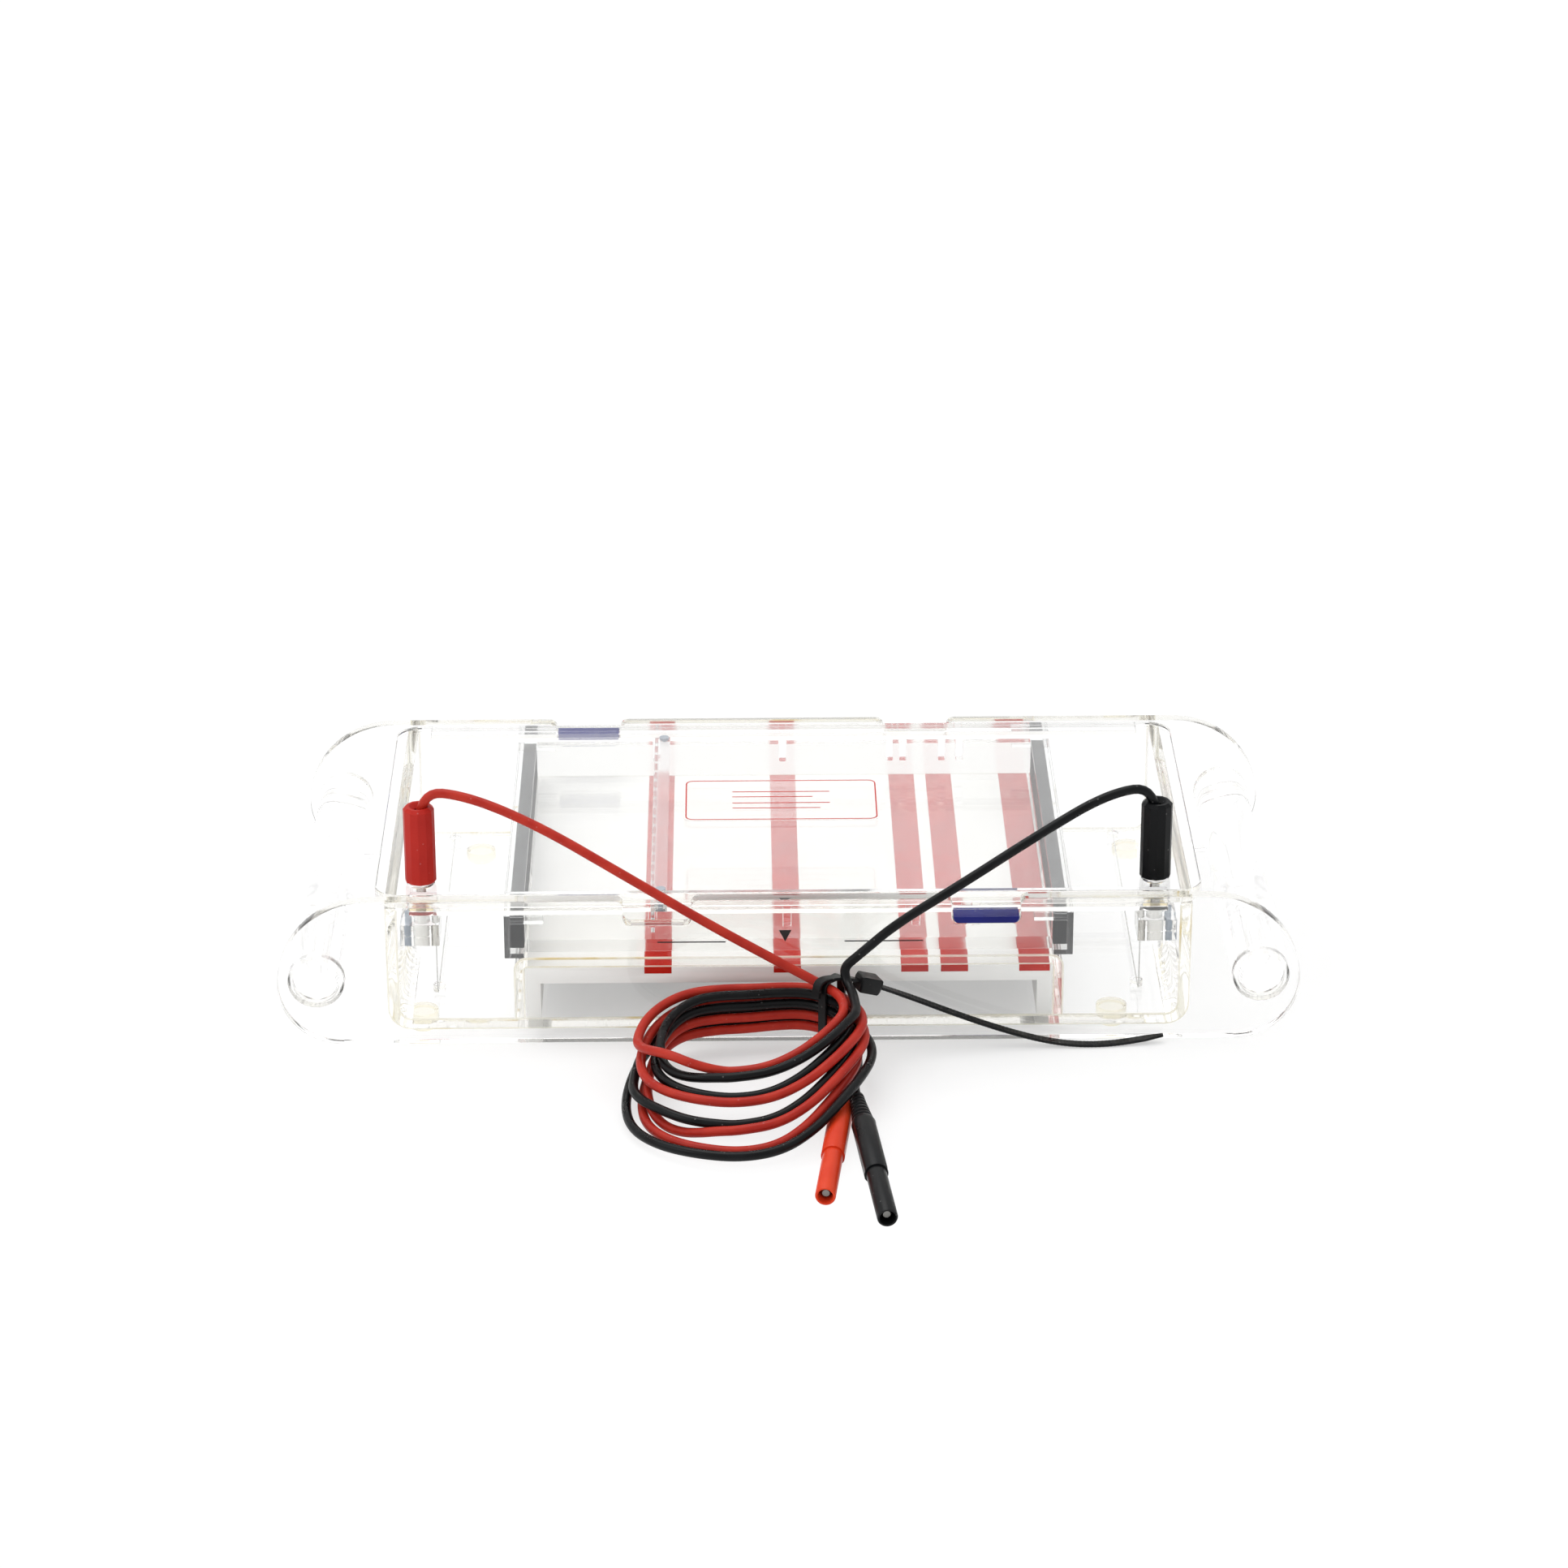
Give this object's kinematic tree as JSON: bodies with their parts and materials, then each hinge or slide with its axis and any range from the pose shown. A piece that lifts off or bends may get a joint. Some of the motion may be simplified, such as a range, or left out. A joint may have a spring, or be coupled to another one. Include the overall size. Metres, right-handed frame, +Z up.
{
  "type": "horizontal electrophoresis chamber",
  "caption": "Clear bench tank for gel electrophoresis with lift-off lid, gel tray, gates and comb, carrying tubes, and a red and a black lead tied in a hank.",
  "frame": {"origin": "on the table under the middle of the tank", "axes": "+X from the red electrode to the black one, +Y from the front plate to the back plate, +Z up"},
  "size_m": [0.406, 0.3316, 0.103],
  "materials": {
    "clear_acrylic": "polished clear acrylic sheet with faintly warm glued edges",
    "clear_tray": "clear UV-transmitting acrylic, slightly hazy",
    "clear_gate": "clear acrylic channel",
    "clear_feet": "soft translucent rubber bumper",
    "clear_comb": "clear acrylic comb",
    "white_liner": "smooth white rigid plastic",
    "red_strip": "even red film strip",
    "printed_black": "screen-printed ink",
    "label_film": "clear film with a thin red printed border",
    "brass_metal": "turned brass",
    "steel_pins": "nickel-plated pin",
    "platinum": "bright platinum wire",
    "dark_plastic": "dark moulded plastic",
    "gasket_rubber": "dark grey silicone foam",
    "blue_tab": "polished dark blue acrylic",
    "red_plastic": "glossy moulded red plastic",
    "black_plastic": "glossy moulded black plastic",
    "red_lead": "red silicone lead jacket, satin",
    "black_lead": "black silicone lead jacket, satin",
    "black_nylon": "black nylon cable tie"
  },
  "bodies": {
    "tank": {"front_plate": "clear_acrylic", "back_plate": "clear_acrylic", "handle_tube_left": "clear_acrylic", "handle_tube_right": "clear_acrylic", "trough": "clear_acrylic", "gel_platform": "clear_acrylic", "white_underlay": "white_liner", "red_strips": "red_strip", "feet": "clear_feet", "fill_mark": "printed_black", "socket_block_left": "clear_acrylic", "socket_block_right": "clear_acrylic", "socket_left": "brass_metal", "socket_right": "brass_metal", "electrode_wire_left": "platinum", "electrode_wire_right": "platinum", "retaining_pins": "dark_plastic", "terminal_screws": "brass_metal", "wire_posts": "clear_acrylic", "coil_red": "red_lead", "coil_black": "black_lead", "cable_tie": "black_nylon", "safety_plug_red": "red_plastic", "safety_plug_black": "black_plastic", "safety_pin_red": "steel_pins", "safety_pin_black": "steel_pins"},
    "lid": {"lid_plate": "clear_acrylic", "lid_strip_front": "clear_acrylic", "lid_strip_back": "clear_acrylic", "lift_tab_front": "blue_tab", "lift_tab_back": "blue_tab", "label_panel": "label_film", "plug_handle_red": "red_plastic", "plug_handle_black": "black_plastic", "plug_pin_red": "steel_pins", "plug_pin_black": "steel_pins", "lead_red": "red_lead", "lead_black": "black_lead"},
    "comb": {"comb_blade": "clear_comb", "comb_bar": "clear_comb", "comb_screws": "dark_plastic"},
    "gate_left_frame": {"gate_left": "clear_gate", "gate_gasket_left": "gasket_rubber"},
    "gate_right_frame": {"gate_right": "clear_gate", "gate_gasket_right": "gasket_rubber"},
    "tray": {"gel_tray": "clear_tray"}
  },
  "joints": [
    {"name": "lid_lift", "type": "slide", "parent": "tank", "child": "lid", "axis": [0, 0, 1], "range_m": [0, 0.075]},
    {"name": "comb_lift", "type": "slide", "parent": "tank", "child": "comb", "axis": [0, 0, 1], "range_m": [0, 0.051]},
    {"name": "gate_left_lift", "type": "slide", "parent": "tank", "child": "gate_left_frame", "axis": [0, 0, 1], "range_m": [0, 0.036]},
    {"name": "gate_right_lift", "type": "slide", "parent": "tank", "child": "gate_right_frame", "axis": [0, 0, 1], "range_m": [0, 0.036]},
    {"name": "tray_lift", "type": "slide", "parent": "tank", "child": "tray", "axis": [0, 0, 1], "range_m": [0, 0.024]}
  ],
  "couplings": [
    {"joint": "comb_lift", "follows": "lid_lift", "ratio": 0.68},
    {"joint": "gate_left_lift", "follows": "lid_lift", "ratio": 0.48},
    {"joint": "gate_right_lift", "follows": "lid_lift", "ratio": 0.48},
    {"joint": "tray_lift", "follows": "lid_lift", "ratio": 0.32}
  ]
}
